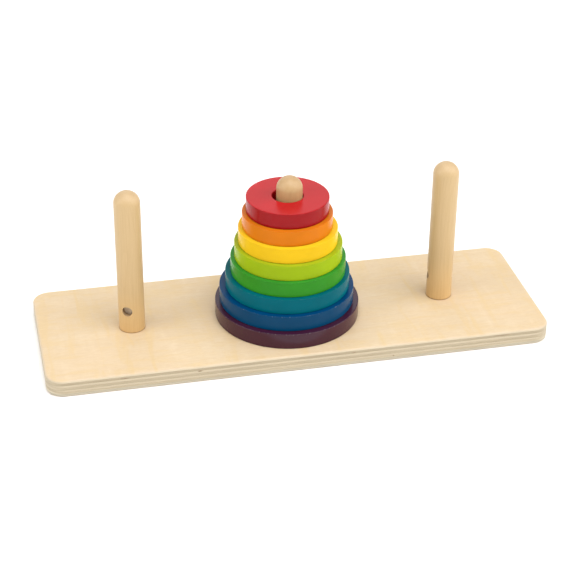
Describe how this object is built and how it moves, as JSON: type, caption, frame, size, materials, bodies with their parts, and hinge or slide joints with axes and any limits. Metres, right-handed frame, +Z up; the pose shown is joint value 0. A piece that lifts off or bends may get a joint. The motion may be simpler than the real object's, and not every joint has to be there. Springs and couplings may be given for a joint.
{
  "type": "tower of hanoi puzzle",
  "caption": "Flat wooden board with a row of domed upright pegs and a stack of loose coloured rings, each smaller than the one below.",
  "frame": {"origin": "middle of the board's underside, where it rests on a table", "axes": "+X along the board, +Y to its back, +Z up along the pegs"},
  "size_m": [0.35, 0.118, 0.1174],
  "materials": {
    "plywood": "clear satin lacquer over birch plywood",
    "dowel_wood": "clear satin lacquer over sanded hardwood",
    "purple_paint": "purple satin paint over turned wood",
    "blue_paint": "blue satin paint over turned wood",
    "teal_paint": "teal satin paint over turned wood",
    "green_paint": "green satin paint over turned wood",
    "lime_paint": "lime satin paint over turned wood",
    "yellow_paint": "yellow satin paint over turned wood",
    "orange_paint": "orange satin paint over turned wood",
    "red_paint": "red satin paint over turned wood",
    "nut_steel": "plain zinc plate",
    "bolt_steel": "bright zinc plate"
  },
  "bodies": {
    "board": {"base_board": "plywood", "peg_left": "dowel_wood", "peg_centre": "dowel_wood", "peg_right": "dowel_wood", "barrel_nut_left": "nut_steel", "barrel_nut_centre": "nut_steel", "barrel_nut_right": "nut_steel", "bolt_left": "bolt_steel", "bolt_centre": "bolt_steel", "bolt_right": "bolt_steel", "washer_left": "bolt_steel", "washer_centre": "bolt_steel", "washer_right": "bolt_steel"},
    "purple_ring": {"ring_purple": "purple_paint"},
    "blue_ring": {"ring_blue": "blue_paint"},
    "teal_ring": {"ring_teal": "teal_paint"},
    "green_ring": {"ring_green": "green_paint"},
    "lime_ring": {"ring_lime": "lime_paint"},
    "yellow_ring": {"ring_yellow": "yellow_paint"},
    "orange_ring": {"ring_orange": "orange_paint"},
    "red_ring": {"ring_red": "red_paint"}
  },
  "joints": [
    {"name": "lift_purple", "type": "slide", "parent": "board", "child": "purple_ring", "axis": [0, 0, 1], "range_m": [0, 0.106]},
    {"name": "lift_blue", "type": "slide", "parent": "purple_ring", "child": "blue_ring", "axis": [0, 0, 1], "range_m": [0, 0.0947]},
    {"name": "lift_teal", "type": "slide", "parent": "blue_ring", "child": "teal_ring", "axis": [0, 0, 1], "range_m": [0, 0.0834]},
    {"name": "lift_green", "type": "slide", "parent": "teal_ring", "child": "green_ring", "axis": [0, 0, 1], "range_m": [0, 0.0721]},
    {"name": "lift_lime", "type": "slide", "parent": "green_ring", "child": "lime_ring", "axis": [0, 0, 1], "range_m": [0, 0.0608]},
    {"name": "lift_yellow", "type": "slide", "parent": "lime_ring", "child": "yellow_ring", "axis": [0, 0, 1], "range_m": [0, 0.0495]},
    {"name": "lift_orange", "type": "slide", "parent": "yellow_ring", "child": "orange_ring", "axis": [0, 0, 1], "range_m": [0, 0.0382]},
    {"name": "lift_red", "type": "slide", "parent": "orange_ring", "child": "red_ring", "axis": [0, 0, 1], "range_m": [0, 0.0269]}
  ]
}
